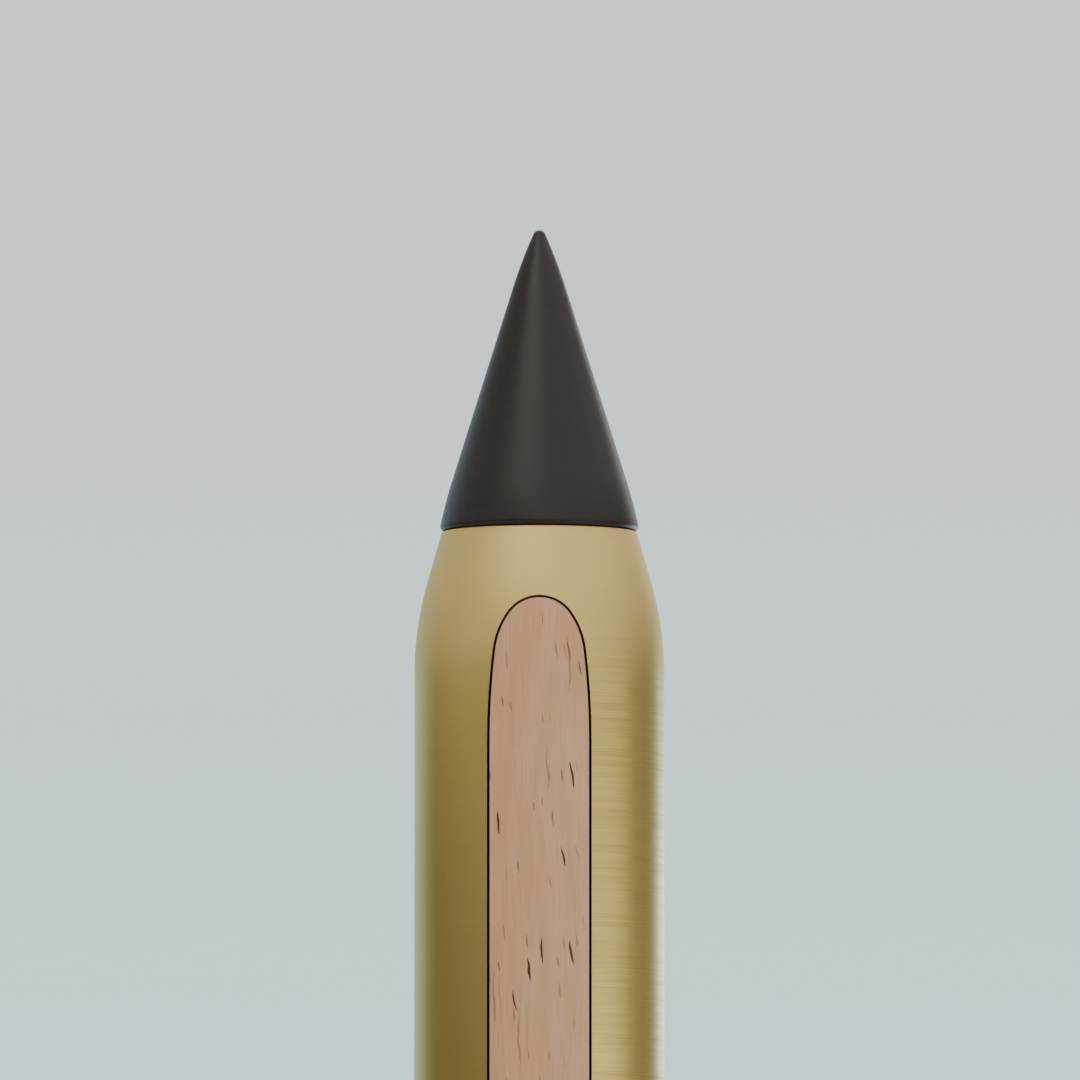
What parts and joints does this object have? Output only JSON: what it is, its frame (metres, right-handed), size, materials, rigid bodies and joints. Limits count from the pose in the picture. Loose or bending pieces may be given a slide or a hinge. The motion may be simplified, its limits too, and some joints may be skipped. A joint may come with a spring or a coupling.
{
  "type": "inkless metal pencil",
  "caption": "Inkless pencil with a turned brass barrel, a long wood inlay, a screw-in graphite alloy cone tip and a screw-in flat tail cap.",
  "frame": {"origin": "centre of the tail cap's flat end face, where the pencil stands", "axes": "+Z along the pencil's axis towards the writing tip, -Y out of the wood inlay, +X to the right of the inlay seen from in front"},
  "size_m": [0.01, 0.01, 0.1402],
  "materials": {
    "graphite_alloy": "satin",
    "stainless_steel": "satin",
    "black_rubber": "matte",
    "brushed_brass": "satin",
    "beech": "matte",
    "glue_film": "matte",
    "aluminium_tube": "satin"
  },
  "bodies": {
    "barrel": {"barrel": "brushed_brass", "nose_bush": "stainless_steel", "liner_tube": "aluminium_tube", "liner_pad": "black_rubber", "wood_inlay": "beech", "inlay_glue_film": "glue_film"},
    "tip_ring": {"tip_o_ring": "black_rubber"},
    "tip": {"writing_tip": "graphite_alloy", "tip_stud": "stainless_steel"},
    "tail_ring": {"tail_gasket": "black_rubber"},
    "tail": {"tail_cap": "brushed_brass"}
  },
  "joints": [
    {"name": "tip_lift", "type": "slide", "parent": "barrel", "child": "tip_ring", "axis": [0, 0, 1], "range_m": [0, 0.00438]},
    {"name": "tip_turn", "type": "hinge", "parent": "tip_ring", "child": "tip", "pos_m": [0, 0, 0.128], "axis": [0, 0, 1], "range_deg": [0, 2251]},
    {"name": "tail_drop", "type": "slide", "parent": "barrel", "child": "tail_ring", "axis": [0, 0, -1], "range_m": [0, 0.00375]},
    {"name": "tail_turn", "type": "hinge", "parent": "tail_ring", "child": "tail", "pos_m": [0, 0, 0.006], "axis": [0, 0, -1], "range_deg": [0, 1801]}
  ],
  "couplings": [
    {"joint": "tip_turn", "follows": "tip_lift", "rad_per_m": 8976},
    {"joint": "tail_turn", "follows": "tail_drop", "rad_per_m": 8377.6}
  ]
}
